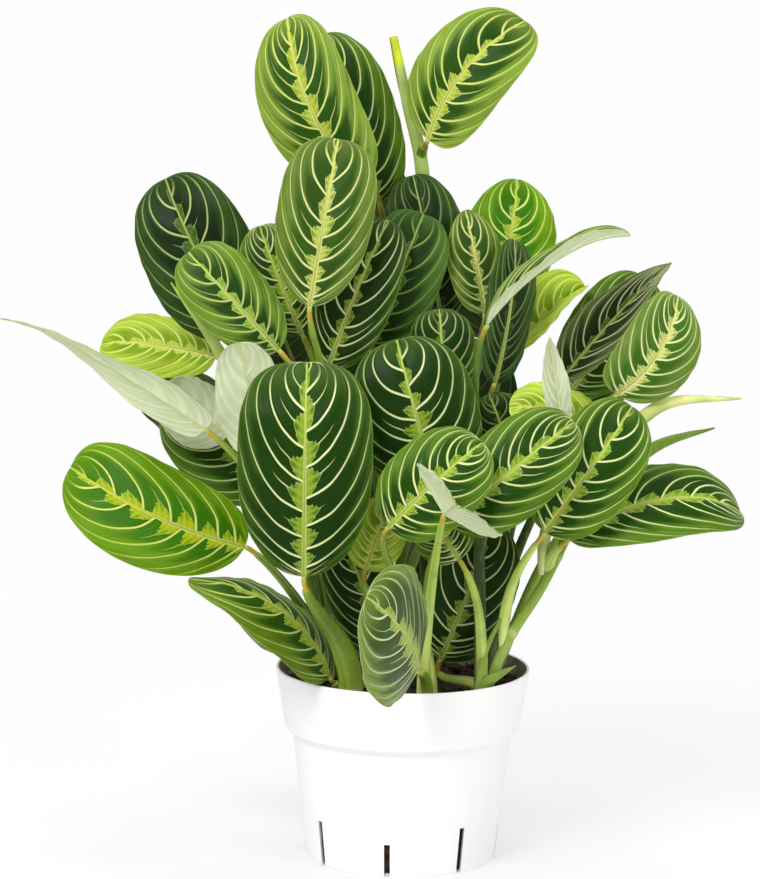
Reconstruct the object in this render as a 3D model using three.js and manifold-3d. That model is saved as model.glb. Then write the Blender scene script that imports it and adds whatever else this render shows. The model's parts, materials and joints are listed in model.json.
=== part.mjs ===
// Potted prayer plant (Maranta): a white nursery pot filled with potting mix,
// clumps of sheathed stalks that stand in the mix, and broad patterned leaves.
// Millimetres, +Z up. The origin is the centre of the pot's flat base and the
// plant's best side looks along -Y.
import * as THREE from "three";
import { mergeVertices } from "three/addons/utils/BufferGeometryUtils.js";
import Module from "manifold-3d";

const wasm = await Module();
wasm.setup();

// Driving dimensions of the pot
const potHeight = 115;
const rimRadius = 76;
const baseRadius = 57;
const wall = 1.5;
const collarDepth = 36;
const collarFootRadius = 70.5;
const stepDepth = 4;
const neckRadius = 65.5;
const baseFillet = 3;
const filletSteps = 3;
const lipHeight = 2;
const lipBulge = 0.3;
const lipBevel = 0.5;
const potSides = 36;

// Drain slots: long and short ones take turns round the foot of the wall
const slotCount = 8;
const slotWidth = 3.5;
const slotHeights = [20, 28];
const slotDepth = 8;
const firstSlotAngle = -98;

// Potting mix
const mixClearance = 0.5;
const mixTop = 104;
const mixLump = 1.6;
const mixSides = potSides;
const mixRings = 5;
const holeClearance = 0.35;

// Each clump stands in its own hole in the mix on a short round root
const rootRadius = 6.5;
const rootDepth = 22;
const rootRise = 5;
const rootSides = 10;

// Stalks crowd round the root in a spiral and start a little below its top
const spiralRadius = 2.8;
const goldenTurn = 137.5;
const startDepth = 3;

// Stalks: a thick sheath that thins to a wiry end just short of the blade
const stalkFootRadius = 3.6;
const stalkTopRadius = 1.7;
const sheathShare = 0.75;
const stalkSides = 5;
const stalkSteps = 5;
const bladeGap = 0.45;
const sunk = 2;
const defaultRise = 0.45;
const defaultReach = 24;

// Stems are even along their length, swell where a young leaf is rolled round
// the end and close in a point
const stemRadius = 3;
const rollSwell = 2.7;
const rollStart = 0.62;
const rollSkew = 0.8;
const stemTipRadius = 0.5;
const stemSides = 6;
const stemSteps = 12;

// Leaf blades: rows along the midrib, columns across each half
const bladeThickness = 1.0;
const bladeRows = 8;
const halfColumns = 2;
const outlinePower = 2.3;
const footHalfWidth = 2.4;
const tipHalfWidth = 0.9;
const defaultArch = 0.06;
const defaultFold = 10;
const defaultCurl = 26;
const rippleHeight = 1.5;
const ripples = 1.5;
const droopStart = 0.72;
const defaultDroop = 0.05;
const defaultWidest = 0.5;

const colours = {
  pot: new THREE.Color(0.93, 0.93, 0.92),
  mix: new THREE.Color(0.09, 0.06, 0.045),
  stalk: new THREE.Color(0.5, 0.62, 0.28),
  dark: new THREE.Color(0.05, 0.2, 0.06),
  mid: new THREE.Color(0.12, 0.32, 0.08),
  lime: new THREE.Color(0.42, 0.6, 0.1),
  pale: new THREE.Color(0.5, 0.62, 0.45),
};

// Each clump has a root place on the mix, its leaves, and maybe bare stems, each a
// row of points with the radius of its end. A leaf is given by the place where its
// stalk meets the blade (foot), its tip, its width and the way its upper side looks
// (face: compass angle from the front towards +X, then lift, in degrees).
// arch bows the midrib towards the face, as a share of the length, and sway bows
// it sideways, in millimetres. fold raises both halves and curl bends their margins
// back down. twist turns the tip against the foot. widest is the place along the
// blade where it is broadest, point the roundness of the tip end (2 is an ellipse,
// less is sharper) and droop how far the tip hangs back, as a share of the length.
// rise is the share of the stalk's span that it climbs straight up, reach the
// millimetres that it runs straight into the blade, stout how much thicker than the
// others its sheath is at the foot, and from a place on a stem where the stalk starts.
// Fused leaves are the rolled young ones that are one piece with their stalks.
const clumps = [
  {
    name: "front_left",
    root: [-33, -50],
    leaves: [
      { foot: [-58, -98, 188], tip: [-58, -90, 309], width: 78, face: [0, 6],
        arch: 0.07, fold: 4, curl: 22, widest: 0.54, point: 3.2, droop: 0.12, stout: 2 },
      { foot: [-43, -54, 119], tip: [-121, -84, 185],
        width: 50, face: [-16, 58], arch: 0.17, fold: -8, twist: 44, rise: 0.3, reach: 3 },
      { foot: [-8, -36, 129], tip: [-37, -40, 204], width: 46, face: [-6, 8] },
    ],
  },
  {
    name: "front",
    root: [14, -53],
    leaves: [
      { foot: [-10, -103, 218], tip: [42, -99, 267], width: 55, face: [-8, 14], arch: 0.12, fold: 8 },
      { foot: [26, -92, 218], tip: [95, -80, 277], width: 54, face: [6, 26], arch: 0.1, fold: 8 },
      { foot: [8, -82, 130], tip: [-17, -168, 189],
        width: 76, face: [64, -7], fold: -6, curl: 10, rise: 0.6, reach: 6, tone: "mid" },
      { foot: [-23, -66, 186], tip: [-10, -58, 226], width: 34, face: [0, 10], tone: "lime" },
    ],
    fused: [
      { foot: [21, -133, 231], tip: [28, -170, 243], width: 64,
        face: [122, 42], fold: 17, curl: 8, widest: 0.36, point: 1.15, reach: 6, rise: 0.3 },
    ],
  },
  {
    name: "front_right",
    root: [46, -40],
    stems: [
      {
        points: [
          [46, -40, 100], [60, -42, 138], [80, -42, 172], [100, -36, 213],
          [126, -42, 262], [150, -36, 281], [196, -22, 283],
        ],
      },
    ],
    leaves: [
      { foot: [80, -78, 212], tip: [130, -60, 283], width: 56, face: [8, 14], from: [58, -42, 134] },
      { foot: [96, -56, 204], tip: [198, -26, 219],
        width: 52, face: [6, 42], arch: 0.16, sway: -5, widest: 0.56, reach: 7,
        from: [84, -41, 180] },
      { foot: [31, -72, 194], tip: [12, -67, 222], width: 34, face: [0, 8], tone: "mid" },
      { foot: [22, -22, 124], tip: [51, -26, 207], width: 57, face: [10, 8] },
      { foot: [111, -34, 271], tip: [60, -44, 280],
        width: 38, face: [-4, 44], tone: "lime", from: [104, -37, 222] },
      { foot: [122, -42, 287], tip: [157, -32, 344], sway: 7, widest: 0.46,
        width: 46, face: [8, 12], tone: "mid", from: [114, -40, 244], reach: 5 },
    ],
    fused: [
      { foot: [90, -66, 268], tip: [81, -60, 322],
        width: 20, face: [180, 0], fold: 50, point: 1.3, from: [80, -42, 180] },
      { foot: [46, -50, 328], tip: [125, -40, 383],
        width: 20, face: [-60, 50], fold: 72, arch: 0.09, rise: 0.6 },
    ],
  },
  {
    name: "centre",
    root: [-8, -10],
    leaves: [
      { foot: [17, -72, 237], tip: [-7, -64, 320],
        width: 73, face: [-4, 10], arch: 0.08, fold: 4, widest: 0.47, point: 2.6, rise: 0.6 },
      { foot: [-57, -62, 339], tip: [-42, -48, 434],
        width: 56, face: [0, 10], widest: 0.56, point: 2.6, tone: "mid" },
      { foot: [-46, -40, 301], tip: [-13, -30, 386], width: 46, face: [-10, 10] },
      { foot: [-22, -22, 309], tip: [8, -12, 388], width: 50, face: [0, 10], point: 2.8 },
      { foot: [22, -36, 284], tip: [18, -28, 334], width: 40, face: [0, 10] },
      { foot: [-75, -52, 312], tip: [-128, -42, 367],
        width: 45, face: [-10, 20], widest: 0.54, point: 2.6, tone: "mid" },
      { foot: [-62, -26, 318], tip: [-88, -17, 380], width: 42, face: [-8, 10] },
    ],
  },
  {
    name: "left",
    root: [-47, 4],
    stems: [{ points: [[-47, 4, 100], [-70, -2, 220], [-111, -22, 307], [-139, -24, 347]] }],
    leaves: [
      { foot: [-99, -8, 315], tip: [-145, 4, 405], width: 68, face: [-16, 16], arch: 0.08 },
      { foot: [-114, 10, 299], tip: [-183, 20, 306], width: 44, face: [-6, 40], tone: "lime" },
      { foot: [-118, -33, 262], tip: [-232, -61, 334],
        width: 30, face: [180, 54], arch: 0.04, twist: -50, widest: 0.3, point: 1.1,
        sway: 4, tone: "pale" },
      { foot: [-106, -10, 255], tip: [-146, -8, 280], width: 46, face: [180, 26], tone: "pale" },
      { foot: [-78, 10, 218], tip: [-141, 25, 269], width: 57, face: [-10, 24] },
      { foot: [-94, -42, 194], tip: [-197, -30, 239],
        width: 64, face: [-8, 28], arch: 0.07, sway: -8, widest: 0.52, point: 2.6,
        rise: 0.3, reach: 10 },
      { foot: [-58, -18, 128], tip: [-96, -24, 160],
        width: 36, face: [170, 10], rise: 0.2, tone: "pale" },
      { foot: [-86, -62, 250], tip: [-97, -60, 317], width: 40, face: [172, 8], tone: "pale" },
    ],
  },
  {
    name: "tall",
    root: [12, 24],
    stems: [
      {
        points: [
          [12, 24, 100], [12, 32, 260], [9, 27, 380], [6, 16, 418], [-2, 10, 450], [-11, 8, 490],
        ],
        tipRadius: 2.6,
      },
    ],
    leaves: [
      { foot: [-31, -12, 406], tip: [-73, 4, 501], width: 57, face: [0, 14], arch: 0.08,
        sway: -9, widest: 0.47, tone: "mid" },
      { foot: [-18, 18, 392], tip: [-53, 30, 490], width: 55, face: [8, 12] },
      { foot: [10, -2, 431], tip: [65, 0, 501], sway: -8, widest: 0.47, point: 2.6,
        width: 55, face: [-4, 14], tone: "mid", from: [6, 17, 414], reach: 6 },
      { foot: [21, -2, 318], tip: [2, 8, 409], width: 48, face: [4, 10] },
      { foot: [55, 24, 335], tip: [65, 38, 405], width: 56, face: [6, 12], point: 1.8 },
      { foot: [45, -10, 330], tip: [33, -4, 390], width: 34, face: [4, 10], point: 1.7 },
      { foot: [51, -28, 291], tip: [63, -14, 374], width: 31, face: [24, 8] },
    ],
  },
  {
    name: "right",
    root: [52, 8],
    stems: [{ points: [[52, 8, 100], [90, 4, 190], [145, -8, 250], [183, 0, 262]] }],
    leaves: [
      { foot: [92, -14, 293], tip: [154, 0, 361],
        width: 38, face: [-10, 24], fold: 46, widest: 0.43, point: 1.2 },
      { foot: [99, 24, 280], tip: [143, 36, 347], width: 52, face: [0, 12] },
      { foot: [104, 40, 258], tip: [114, 50, 302], width: 48, face: [0, 12] },
      { foot: [58, 10, 297], tip: [104, 22, 344], width: 46, face: [-36, 30], fold: 50, tone: "lime" },
      { foot: [62, -34, 247], tip: [48, -34, 285], width: 34, face: [4, 10] },
    ],
  },
  {
    name: "back",
    root: [-8, 52],
    leaves: [
      { foot: [-38, 70, 190], tip: [-42, 96, 308], width: 74, face: [184, 16] },
      { foot: [30, 84, 200], tip: [40, 104, 300], width: 70, face: [176, 18] },
      { foot: [-90, 60, 230], tip: [-165, 80, 276], width: 60, face: [190, 34] },
      { foot: [70, 62, 214], tip: [128, 86, 258], width: 54, face: [172, 34] },
      { foot: [-20, 60, 326], tip: [-30, 66, 420], width: 60, face: [182, 12] },
      { foot: [44, 60, 306], tip: [62, 76, 384], width: 54, face: [176, 16] },
      { foot: [-66, 50, 285], tip: [-95, 60, 351], width: 54, face: [188, 18] },
      { foot: [-6, 92, 130], tip: [-40, 142, 160], width: 56, face: [184, 50] },
      { foot: [18, 92, 132], tip: [48, 138, 152], width: 54, face: [172, 50] },
    ],
  },
];

// Blade surface
const rad = THREE.MathUtils.degToRad;

function faceDirection([compass, lift]) {
  const across = Math.cos(rad(lift));
  return new THREE.Vector3(
    Math.sin(rad(compass)) * across,
    -Math.cos(rad(compass)) * across,
    Math.sin(rad(lift)),
  );
}

// The midrib and the frame that the two halves hang on
function bladeFrame(leaf) {
  const foot = new THREE.Vector3(...leaf.foot);
  const chord = new THREE.Vector3(...leaf.tip).sub(foot);
  const length = chord.length();
  const along = chord.clone().normalize();
  const face = faceDirection(leaf.face);
  face.addScaledVector(along, -face.dot(along)).normalize();
  const side = along.clone().cross(face);
  const arch = (leaf.arch ?? defaultArch) * length;
  const droop = (leaf.droop ?? defaultDroop) * length;
  const sway = leaf.sway ?? 0;
  const point = (v) => {
    const bow = 4 * v * (1 - v);
    const fall = Math.max(0, (v - droopStart) / (1 - droopStart)) ** 2;
    return foot
      .clone()
      .addScaledVector(chord, v)
      .addScaledVector(face, arch * bow - droop * fall)
      .addScaledVector(side, sway * bow);
  };
  const tangent = (v) => point(v + 0.001).sub(point(v - 0.001)).normalize();
  return { point, tangent, side };
}

function halfWidthAt(leaf, v) {
  const warped = v ** (Math.log(0.5) / Math.log(leaf.widest ?? defaultWidest));
  const s = Math.abs(2 * warped - 1);
  const power = warped > 0.5 ? (leaf.point ?? outlinePower) : outlinePower;
  const round = (1 - s ** power) ** (1 / power);
  const least = footHalfWidth + (tipHalfWidth - footHalfWidth) * v;
  return Math.max(least, 0.5 * leaf.width * round);
}

// A point of the blade and its normal: v runs from foot to tip, u from -1 to 1
function bladePoint(leaf, frame, u, v) {
  const half = 0.5 * leaf.width;
  const reach = Math.abs(u) * halfWidthAt(leaf, v);
  const fold = rad(leaf.fold ?? defaultFold);
  const bend = rad(leaf.curl ?? defaultCurl) / half;
  const angle = fold - bend * reach;
  const out = (Math.sin(fold) - Math.sin(angle)) / bend;
  const lift = (Math.cos(angle) - Math.cos(fold)) / bend;
  const ripple = rippleHeight * (reach / half) ** 2 * Math.sin(2 * Math.PI * ripples * v + u);
  const twist = rad((leaf.twist ?? 0) * (v - 0.5));
  const tangent = frame.tangent(v);
  const side = frame.side.clone().applyAxisAngle(tangent, twist);
  const up = side.clone().cross(tangent);
  const sign = Math.sign(u);
  const point = frame
    .point(v)
    .addScaledVector(side, sign * out)
    .addScaledVector(up, lift + ripple);
  const normal = up
    .clone()
    .multiplyScalar(Math.cos(angle))
    .addScaledVector(side, -sign * Math.sin(angle));
  return { point, normal };
}

// A closed blade: an upper and a lower grid split alike, joined round the edge
function bladeGeometry(leaf) {
  const frame = bladeFrame(leaf);
  const columns = 2 * halfColumns;
  const upper = [];
  const lower = [];
  for (let row = 0; row <= bladeRows; row++) {
    const v = 0.5 - 0.5 * Math.cos((Math.PI * row) / bladeRows);
    for (let column = 0; column <= columns; column++) {
      const u = column / halfColumns - 1;
      const { point, normal } = bladePoint(leaf, frame, u, v);
      upper.push(point.clone().addScaledVector(normal, bladeThickness / 2));
      lower.push(point.addScaledVector(normal, -bladeThickness / 2));
    }
  }
  const stride = columns + 1;
  const count = upper.length;
  const indices = [];
  const quad = (a, b, c, d) => indices.push(a, b, c, a, c, d);
  for (let row = 0; row < bladeRows; row++) {
    for (let column = 0; column < columns; column++) {
      const a = row * stride + column;
      const b = a + 1;
      const c = b + stride;
      const d = a + stride;
      quad(a, b, c, d);
      indices.push(count + a, count + c, count + b, count + a, count + d, count + c);
    }
  }
  const rim = [];
  for (let column = 0; column < columns; column++) rim.push(column);
  for (let row = 0; row < bladeRows; row++) rim.push(row * stride + columns);
  for (let column = columns; column > 0; column--) rim.push(bladeRows * stride + column);
  for (let row = bladeRows; row > 0; row--) rim.push(row * stride);
  rim.forEach((a, i) => {
    const b = rim[(i + 1) % rim.length];
    quad(a, count + a, count + b, b);
  });
  return closedGeometry([...upper, ...lower], indices);
}

function closedGeometry(points, indices) {
  const geometry = new THREE.BufferGeometry();
  const positions = points.flatMap((p) => [p.x, p.y, p.z]);
  geometry.setAttribute("position", new THREE.Float32BufferAttribute(positions, 3));
  geometry.setIndex(indices);
  return geometry;
}

// A stalk: rings of a tapering section along a curve, closed at both ends
function stalkGeometry(curve, radiusAt, steps = stalkSteps, sides = stalkSides) {
  const frames = curve.computeFrenetFrames(steps, false);
  const points = [];
  for (let i = 0; i <= steps; i++) {
    const centre = curve.getPointAt(i / steps);
    const radius = radiusAt(i / steps);
    for (let k = 0; k < sides; k++) {
      const angle = (2 * Math.PI * k) / sides;
      points.push(
        centre
          .clone()
          .addScaledVector(frames.normals[i], radius * Math.cos(angle))
          .addScaledVector(frames.binormals[i], radius * Math.sin(angle)),
      );
    }
  }
  const indices = [];
  for (let i = 0; i < steps; i++) {
    for (let k = 0; k < sides; k++) {
      const a = i * sides + k;
      const b = i * sides + ((k + 1) % sides);
      indices.push(a, b, b + sides, a, b + sides, a + sides);
    }
  }
  const last = steps * sides;
  for (let k = 1; k < sides - 1; k++) {
    indices.push(0, k + 1, k);
    indices.push(last, last + k, last + k + 1);
  }
  return closedGeometry(points, indices);
}

// Solids
function toSolid(geometry) {
  const bare = geometry.clone();
  bare.deleteAttribute("normal");
  bare.deleteAttribute("uv");
  const merged = mergeVertices(bare, 1e-4);
  return new wasm.Manifold(
    new wasm.Mesh({
      numProp: 3,
      vertProperties: new Float32Array(merged.attributes.position.array),
      triVerts: new Uint32Array(merged.index.array),
    }),
  );
}

function toGeometry(solid) {
  const { vertProperties, triVerts } = solid.getMesh();
  const geometry = new THREE.BufferGeometry();
  geometry.setAttribute("position", new THREE.BufferAttribute(vertProperties, 3));
  geometry.setIndex(new THREE.BufferAttribute(triVerts, 1));
  return geometry;
}

function piece(name, geometry, colour, roughness) {
  geometry.computeVertexNormals();
  const material = new THREE.MeshStandardMaterial({ color: colour, roughness, metalness: 0 });
  const mesh = new THREE.Mesh(geometry, material);
  mesh.name = name;
  return mesh;
}

// Turns a list of [radius, height] pairs round the Z axis
function turned(profile, sides) {
  const points = profile.map(([radius, height]) => new THREE.Vector2(radius, height));
  return new THREE.LatheGeometry(points, sides).rotateX(Math.PI / 2);
}

// Pot
const innerBaseRadius = baseRadius - wall;
const collarFoot = potHeight - collarDepth;
const neckTop = collarFoot - stepDepth;

function filletPoints() {
  const points = [];
  for (let i = 0; i <= filletSteps; i++) {
    const angle = (Math.PI / 2) * (i / filletSteps);
    const radius = baseRadius - baseFillet + baseFillet * Math.sin(angle);
    points.push([radius, baseFillet - baseFillet * Math.cos(angle)]);
  }
  return points;
}

function potSolid() {
  const profile = [
    [0, 0],
    ...filletPoints(),
    [neckRadius, neckTop],
    [collarFootRadius, collarFoot],
    [rimRadius - lipBulge, potHeight - lipHeight],
    [rimRadius, potHeight - lipHeight / 2],
    [rimRadius - lipBevel, potHeight],
    [rimRadius - wall - lipBulge, potHeight],
    [collarFootRadius - wall, collarFoot],
    [neckRadius - wall, neckTop],
    [innerBaseRadius, wall],
    [0, wall],
  ];
  let pot = toSolid(turned(profile, potSides));
  for (let i = 0; i < slotCount; i++) {
    const height = slotHeights[i % 2];
    const slot = new THREE.BoxGeometry(slotDepth * 2, slotWidth, height * 2);
    slot.translate(baseRadius, 0, 0);
    slot.rotateZ(rad(firstSlotAngle + (360 / slotCount) * i));
    pot = pot.subtract(toSolid(slot));
  }
  return pot;
}

// Potting mix: fills the pot to just under the rim, with a crumbly top
function innerRadiusAt(height) {
  const share = (height - wall) / (neckTop - wall);
  if (height <= neckTop) return innerBaseRadius + (neckRadius - wall - innerBaseRadius) * share;
  const step = (height - neckTop) / stepDepth;
  if (height <= collarFoot) return neckRadius - wall + (collarFootRadius - neckRadius) * step;
  const rest = (height - collarFoot) / (potHeight - collarFoot);
  return collarFootRadius - wall + (rimRadius - collarFootRadius) * rest;
}

function mixSurface(x, y) {
  const edge = Math.hypot(x, y) / innerRadiusAt(mixTop);
  const crumbs = Math.sin(0.31 * x + 0.9) * Math.cos(0.27 * y) + 0.6 * Math.sin(0.23 * (x + y) + 2);
  return mixTop + mixLump * crumbs * (1 - edge ** 4);
}

function mixSolid(holes) {
  const bottom = wall + mixClearance;
  const fit = (height) => [innerRadiusAt(height - mixClearance) - mixClearance, height];
  const edge = fit(mixTop)[0];
  const ledge = [neckTop + mixClearance, collarFoot + mixClearance];
  const profile = [[0, bottom], fit(bottom), ...ledge.map(fit), fit(mixTop)];
  for (let i = mixRings - 1; i >= 0; i--) profile.push([(edge * i) / mixRings, mixTop]);
  const geometry = turned(profile, mixSides);
  const position = geometry.attributes.position;
  for (let i = 0; i < position.count; i++) {
    if (position.getZ(i) > mixTop - 0.01) {
      position.setZ(i, mixSurface(position.getX(i), position.getY(i)));
    }
  }
  let mix = toSolid(geometry);
  for (const hole of holes) mix = mix.subtract(hole);
  return mix;
}

// Clumps of stalks
const rootBottom = mixTop - rootDepth;
const rootTop = mixTop + rootRise;

function rootPost([x, y], radius, bottom) {
  const post = new THREE.CylinderGeometry(radius, radius, rootTop - bottom, rootSides);
  post.rotateX(Math.PI / 2);
  post.translate(x, y, (rootTop + bottom) / 2);
  return toSolid(post);
}

function stalkStart([x, y], index) {
  const turn = rad(goldenTurn * index);
  return [
    x + spiralRadius * Math.cos(turn),
    y + spiralRadius * Math.sin(turn),
    rootTop - startDepth,
  ];
}

// A stalk leaves its root upright and meets the blade along the midrib. A swayed
// blade starts askew to it, so its stalk stops a little further off
function stalkCurve(leaf, origin, gap = bladeGap) {
  const frame = bladeFrame(leaf);
  const direction = frame.tangent(0.001);
  const askew = Math.abs(direction.dot(frame.side));
  const end = frame.point(0).addScaledVector(direction, -gap - stalkTopRadius * askew);
  const start = new THREE.Vector3(...(leaf.from ?? origin));
  const span = start.distanceTo(end);
  const rise = start.clone().add(new THREE.Vector3(0, 0, (leaf.rise ?? defaultRise) * span));
  const reach = end.clone().addScaledVector(direction, -(leaf.reach ?? defaultReach));
  return new THREE.CubicBezierCurve3(start, rise, reach, end);
}

function stalkRadiusAt(share, leaf) {
  const sheath = Math.min(1, (1 - share) / sheathShare);
  const footRadius = stalkFootRadius * (leaf.stout ?? 1);
  return stalkTopRadius + (footRadius - stalkTopRadius) * sheath;
}

function stemRadiusAt(share, tipRadius) {
  if (share < rollStart) return stemRadius;
  const roll = (share - rollStart) / (1 - rollStart);
  const blunt = tipRadius / stemRadius;
  const swell = rollSwell * (1 - blunt) * Math.sin(Math.PI * roll ** rollSkew);
  return stemRadius + (tipRadius - stemRadius) * roll + swell;
}

function clumpSolid(clump) {
  let solid = rootPost(clump.root, rootRadius, rootBottom);
  clump.leaves.forEach((leaf, i) => {
    const curve = stalkCurve(leaf, stalkStart(clump.root, i));
    solid = solid.add(toSolid(stalkGeometry(curve, (share) => stalkRadiusAt(share, leaf))));
  });
  for (const leaf of clump.fused ?? []) {
    const curve = stalkCurve(leaf, stalkStart(clump.root, clump.leaves.length), -sunk);
    solid = solid.add(toSolid(stalkGeometry(curve, (share) => stalkRadiusAt(share, leaf))));
    solid = solid.add(toSolid(bladeGeometry(leaf)));
  }
  for (const { points, tipRadius = stemTipRadius } of clump.stems ?? []) {
    const curve = new THREE.CatmullRomCurve3(points.map((p) => new THREE.Vector3(...p)));
    const radiusAt = (share) => stemRadiusAt(share, tipRadius);
    solid = solid.add(toSolid(stalkGeometry(curve, radiusAt, stemSteps, stemSides)));
  }
  return solid;
}

// Assembly
const plant = new THREE.Group();
plant.add(piece("pot", toGeometry(potSolid()), colours.pot, 0.5));

const holes = clumps.map((clump) =>
  rootPost(clump.root, rootRadius + holeClearance, rootBottom - holeClearance),
);
plant.add(piece("potting_mix", toGeometry(mixSolid(holes)), colours.mix, 1));

for (const clump of clumps) {
  plant.add(piece(`stalks_${clump.name}`, toGeometry(clumpSolid(clump)), colours.stalk, 0.55));
  clump.leaves.forEach((leaf, i) => {
    const colour = colours[leaf.tone ?? "dark"];
    plant.add(piece(`leaf_${clump.name}_${i + 1}`, bladeGeometry(leaf), colour, 0.5));
  });
}

export default plant;
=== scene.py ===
# Potted prayer plant (Maranta): broad patterned blades on sheathed stalks, in potting
# mix in a white nursery pot. The rows of leaves and the blade formula are those of
# the CAD part, in millimetres, drawn here on a fine grid.
import json
import math
from types import SimpleNamespace

import bpy
import numpy as np
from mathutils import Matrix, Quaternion, Vector


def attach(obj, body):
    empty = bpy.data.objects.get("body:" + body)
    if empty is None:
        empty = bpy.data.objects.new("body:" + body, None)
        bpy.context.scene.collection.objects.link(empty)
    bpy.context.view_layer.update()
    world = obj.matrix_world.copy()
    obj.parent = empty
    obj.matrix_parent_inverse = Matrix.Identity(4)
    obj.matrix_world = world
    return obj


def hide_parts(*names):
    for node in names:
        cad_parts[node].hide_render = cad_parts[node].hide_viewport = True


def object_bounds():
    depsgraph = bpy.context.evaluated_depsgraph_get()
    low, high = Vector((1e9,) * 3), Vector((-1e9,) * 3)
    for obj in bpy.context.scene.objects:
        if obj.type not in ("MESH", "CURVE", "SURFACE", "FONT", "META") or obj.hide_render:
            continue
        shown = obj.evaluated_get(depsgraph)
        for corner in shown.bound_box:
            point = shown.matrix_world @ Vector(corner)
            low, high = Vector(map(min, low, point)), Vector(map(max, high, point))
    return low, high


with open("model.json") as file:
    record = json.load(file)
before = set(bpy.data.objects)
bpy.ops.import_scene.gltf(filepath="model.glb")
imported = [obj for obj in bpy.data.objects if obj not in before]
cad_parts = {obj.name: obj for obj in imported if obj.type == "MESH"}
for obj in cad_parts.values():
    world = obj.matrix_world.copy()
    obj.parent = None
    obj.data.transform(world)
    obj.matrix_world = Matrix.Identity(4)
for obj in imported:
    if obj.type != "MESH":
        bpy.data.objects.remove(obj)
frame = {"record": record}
cad_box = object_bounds()

MM = 0.001

# Blade formula
BLADE_THICKNESS = 0.5
BLADE_ROWS = 60
HALF_COLUMNS = 16
OUTLINE_POWER = 2.3
FOOT_HALF_WIDTH = 2.4
TIP_HALF_WIDTH = 0.9
RIPPLE_HEIGHT = 1.5
RIPPLES = 1.5
DROOP_START = 0.72

# Fine relief of a blade: puffed up between two veins, and waved at the margin
PUFF_HEIGHT = 0.5
PUFF_SPACING = 9
PUFF_FROM_MIDRIB = 6
MARGIN_WAVE_HEIGHT = 0.35
MARGIN_WAVES = 7

# Lateral veins: where they leave the midrib, and how they sweep towards the tip. The
# sweep adds up terms of (size, power) of the reach from midrib to margin. A narrow
# blade has fewer and finer veins
VEIN_COUNT = 7.6
VEIN_POWER = 0.68
VEIN_START = 0.012
SWEEP_FOOT = 0.35
SWEEP_GROWTH = 2.0
SWEEP_TERMS = [(0.12, 1), (0.42, 3), (0.12, 10)]
LEFT_OFFSET = 0.45
VEIN_SHIFT = 0.12
NARROW_COUNT = 0.86
FULL_COUNT_WIDTH = 70
NARROW_SCALE = 0.6
FULL_SCALE_WIDTH = 72

# How wide the lime band is along the midrib, as (share of the midrib, share of its width)
BAND_ALONG = [(0, 0.55), (0.15, 0.9), (0.3, 1), (0.5, 0.92), (0.7, 0.68), (0.85, 0.4), (1, 0.1)]

# How far blades differ in shade, and the range of their seeds
BLADE_SHADES = 0.1
SEED_RANGE = 50

# Stalks and stems
STALK_SIDES = 18
STALK_RINGS = 64
STALK_FOOT_RADIUS = 3.6
STALK_TOP_RADIUS = 1.7
STALK_STRIPES = 0.24
STALK_SHADES = (0.92, 1.08)
SHEATH_END = 0.75
BRANCH_START = 0.55
BRANCH_GROWTH = 0.2
GROOVE_ANGLE = 4.0
GROOVE_SPREAD = 0.3
JOINT_LENGTH = 9
JOINT_SHARE = 0.3
JOINT_RADIUS = 1.35
JOINT_SWELL = 0.25
JOINT_EDGE = 0.012
BLADE_GAP = 0.1
SPIRAL_RADIUS = 2.8
GOLDEN_TURN = 137.5
START_HEIGHT = 106
STEM_RADIUS = 3
STEM_RINGS = 150
STEM_KNOTS = (0.3, 0.62, 0.9)
KNOT_SPREAD = 0.012
ROLL_START = 0.62
ROLL_SWELL = 2.7
ROLL_TURNS = 1.5
ROLL_COLUMNS = 40
ROLL_THICKNESS = 0.3
ROLL_PHASE = 1.2
ROLL_TWIST = 5.5
ROLL_INNER = 0.8
SHOOT_RINGS = 50
FIBRE_COUNT = 14
FIBRE_RINGS = 14

# Camera: millimetres and degrees
CAMERA_PLACE = (-15.6, -2150, 589)
CAMERA_TARGET = (-15.6, 0, 252.2)
CAMERA_LENS = 150
SENSOR_WIDTH = 36
CAMERA_ROLL = 0.8

# Lights and floor: metres and watts
WORLD_STRENGTH = 0.4
LIGHTS = [
    dict(name="key", place=(-1.0, -1.7, 1.8), target=(0, 0, 0.25), size=1.2, power=44),
    dict(name="fill", place=(1.7, -1.5, 1.2), target=(0, 0, 0.25), size=1.2, power=18),
    dict(name="top", place=(0.1, 0.2, 2.3), target=(0, 0, 0.3), size=1.4, power=26),
]
FLOOR_HALF = 20
FLOOR_TINT = (236, 235, 237)
FLOOR_GLOW = 0.99

# Pot
POT_HEIGHT = 115
RIM_RADIUS = 76
BASE_RADIUS = 57
WALL = 1.5
COLLAR_FOOT_HEIGHT = 79
COLLAR_FOOT_RADIUS = 70.5
NECK_TOP = 75
NECK_RADIUS = 65.5
POT_ROUNDING = 0.9
POT_SIDES = 192
SLOT_COUNT = 8
SLOT_WIDTH = 3.5
SLOT_HEIGHTS = (20, 28)
SLOT_DEPTH = 8
FIRST_SLOT_ANGLE = -98

# Potting mix
MIX_TOP = 104
MIX_UNEVEN = 1.28
MIX_CLEARANCE = 0.5
MIX_SIDES = 160
MIX_RINGS = 70
LUMP_COUNT = 420
LUMP_SIZES = (0.8, 2.6)
LUMP_RINGS = 5
LUMP_SIDES = 10


def colour(red, green, blue):
    """A colour read off a screen, 0 to 255, as linear light."""
    share = np.array([red, green, blue]) / 255
    low = share / 12.92
    high = ((share + 0.055) / 1.055) ** 2.4
    return tuple(float(x) for x in np.where(share <= 0.04045, low, high))


def paint(centre, margin, band, vein, under, dark):
    """Colours of the dark middle, the margin, the lime band, the veins and the underside,
    and how far the dark reaches from the midrib to the margin."""
    return dict(centre=centre, margin=margin, band=band, vein=vein, under=under, dark=dark)


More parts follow.
